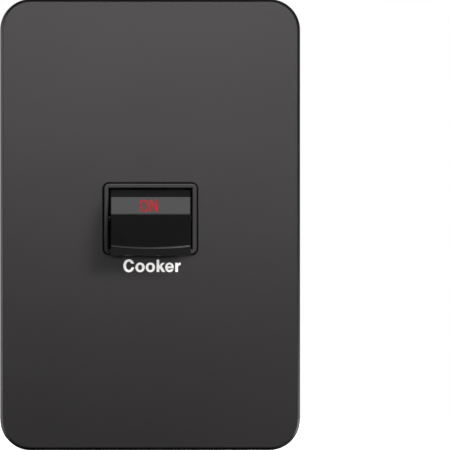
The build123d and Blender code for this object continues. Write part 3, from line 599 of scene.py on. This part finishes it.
# Small card high in front, which the rocker's sloping upper face mirrors
softBox("upperCard", {"at": (0.0, -0.28, 0.232), "look": (0.0, -0.01, 0.005), "wide": 0.16, "tall": 0.08,
                      "brightness": 0.9})
# Slip of light overhead, mirrored in the right-hand end of the rocker's lip
softBox("lipCard", {"at": (-0.032, -0.055, 0.44), "look": (0.0, -0.01, -0.01), "wide": 0.03, "tall": 0.05,
                    "brightness": 3.6})
# From behind at both sides, unseen in gloss, for the views of the back and the sides
for name, side in (("backLeft", -1), ("backRight", 1)):
    softBox(name, {"at": (side * 0.42, 0.62, 0.24), "look": (0.0, 0.015, 0.0), "wide": 0.4, "tall": 0.4,
                   "brightness": 4.5}, False)
# In front, linked to the printed word alone, which the rocker's shadow would grey
wordLamp = softBox("wordLamp", {"at": (0.0, -0.5, 0.1), "look": (0.0, -0.005, -0.013), "wide": 0.2,
                                "tall": 0.2, "brightness": 7.4}, False)
linkTo(wordLamp, word, "INCLUDE")
print("lamps hung")


# One to the camera, to gloss and to glass, nothing to the light that falls on matt surfaces
def seenMask(tree):
    path = addNode(tree, "ShaderNodeLightPath")
    mirrored = addNode(tree, "ShaderNodeMath", {"operation": "MAXIMUM"},
                       {0: path.outputs["Is Glossy Ray"], 1: path.outputs["Is Transmission Ray"]})
    seen = addNode(tree, "ShaderNodeMath", {"operation": "MAXIMUM"},
                   {0: path.outputs["Is Camera Ray"], 1: mirrored.outputs["Value"]})
    return seen.outputs["Value"]


# World: white to the camera and in gloss, a low fill to everything else
studio = {"colour": "#ffffff", "seen": 1.0, "fill": 0.23}
world = bpy.data.worlds.new("studio")
bpy.context.scene.world = world
world.use_nodes = True
worldTree = world.node_tree
worldTree.nodes.clear()
strength = addNode(worldTree, "ShaderNodeMapRange", {"To Min": studio["fill"], "To Max": studio["seen"]},
                   {"Value": seenMask(worldTree)})
sky = addNode(worldTree, "ShaderNodeBackground", {"Color": linearOf(studio["colour"])},
              {"Strength": strength.outputs["Result"]})
addNode(worldTree, "ShaderNodeOutputWorld", None, {"Surface": sky.outputs["Background"]})


# A flat stage panel from its corners
def stagePanel(name, corners, finish):
    mesh = bpy.data.meshes.new(name)
    mesh.from_pydata(corners, [], [tuple(range(len(corners)))])
    mesh.materials.append(finish)
    panel = bpy.data.objects.new(name, mesh)
    bpy.context.scene.collection.objects.link(panel)
    return panel


# Corners of a level sheet, between two sides and two depths
def levelSheet(left, right, near, deep, height):
    return [(left, near, height), (right, near, height), (right, deep, height), (left, deep, height)]


# Corners of an upright sheet, from one foot to the other
def uprightSheet(start, end, low, high):
    return [(*start, low), (*end, low), (*end, high), (*start, high)]


# Pale floor under the plate: white to the camera where it is lit, and it keeps the shadow
floorLook = {"half": 0.7, "below": 0.0006, "seen": "#f0efed", "unseen": "#6e6e6e", "roughness": 0.9,
             "specular": 0.1, "glow": 0.85, "glowColour": "#ffffff"}
paleFloor, floorTree, floorShader, _ = startFinish("paleStudioFloor", {
    "Roughness": floorLook["roughness"], "Specular IOR Level": floorLook["specular"],
    "Emission Color": linearOf(floorLook["glowColour"])})
seen = seenMask(floorTree)
tone = addNode(floorTree, "ShaderNodeMix", {"data_type": "RGBA", colourA: linearOf(floorLook["unseen"]),
                                            colourB: linearOf(floorLook["seen"])}, {mixShare: seen})
glow = addNode(floorTree, "ShaderNodeMath", {"operation": "MULTIPLY", 1: floorLook["glow"]}, {0: seen})
floorTree.links.new(tone.outputs[colourOut], floorShader.inputs["Base Color"])
floorTree.links.new(glow.outputs["Value"], floorShader.inputs["Emission Strength"])
reach, ground = floorLook["half"], cadBox[0].z - floorLook["below"]
stagePanel("floor", levelSheet(-reach, reach, -reach, reach, ground), paleFloor)
print("floor laid")

# Black velvet tent, there only for gloss to mirror, with grey felt on the ground in front. A slit overhead
# lights the rocker's lip. It is open above the camera, and behind at the left, which lights the plate's
# left edge. Far behind at the right it covers the floor too
tent = {"velvet": "#0a0a0a", "felt": "#7c7c7c", "half": 0.9, "front": -1.9, "back": 1.5, "wall": 0.8,
        "roof": 0.45, "mouth": -0.4, "slit": (-0.08, -0.03), "slitEnds": (-0.035, 0.06), "corner": 0.8,
        "far": 3.2, "shade": (0.25, 0.45), "shadeBack": 1.6, "under": 0.015, "lift": 0.0003}
matt = {"Roughness": 1.0, "Specular IOR Level": 0.0}
velvet = startFinish("blackVelvet", {**matt, "Base Color": linearOf(tent["velvet"])})[0]
felt = startFinish("greyFelt", {**matt, "Base Color": linearOf(tent["felt"])})[0]
half, front, wall, roof = tent["half"], tent["front"], tent["wall"], tent["roof"]
low = ground + tent["lift"]
slitFront, slitBack = tent["slit"]
slitLeft, slitRight = tent["slitEnds"]
shadeLeft, shadeFront = tent["shade"]
drapes = {
    "drapeFront": uprightSheet((-half, front), (half, front), low, wall),
    "drapeShade": levelSheet(shadeLeft, half, shadeFront, tent["shadeBack"], low),
    "drapeLeft": uprightSheet((-half, front), (-half, tent["corner"]), low, wall),
    "drapeRight": uprightSheet((half, front), (half, tent["far"]), low, wall),
    "drapeGround": levelSheet(-half, half, front, tent["under"], low),
    "drapeRoofFront": levelSheet(-half, half, tent["mouth"], slitFront, roof),
    "drapeRoofBack": levelSheet(-half, half, slitBack, tent["back"], roof),
    "drapeRoofLeft": levelSheet(-half, slitLeft, slitFront, slitBack, roof),
    "drapeRoofRight": levelSheet(slitRight, half, slitFront, slitBack, roof),
}
for name, corners in drapes.items():
    drape = stagePanel(name, corners, felt if name == "drapeGround" else velvet)
    drape.visible_camera = False
    drape.visible_diffuse = False
    drape.visible_shadow = False
print("tent hung:", len(drapes), "drapes")

bpy.context.scene.view_settings.view_transform = "Standard"
print("scene ready")
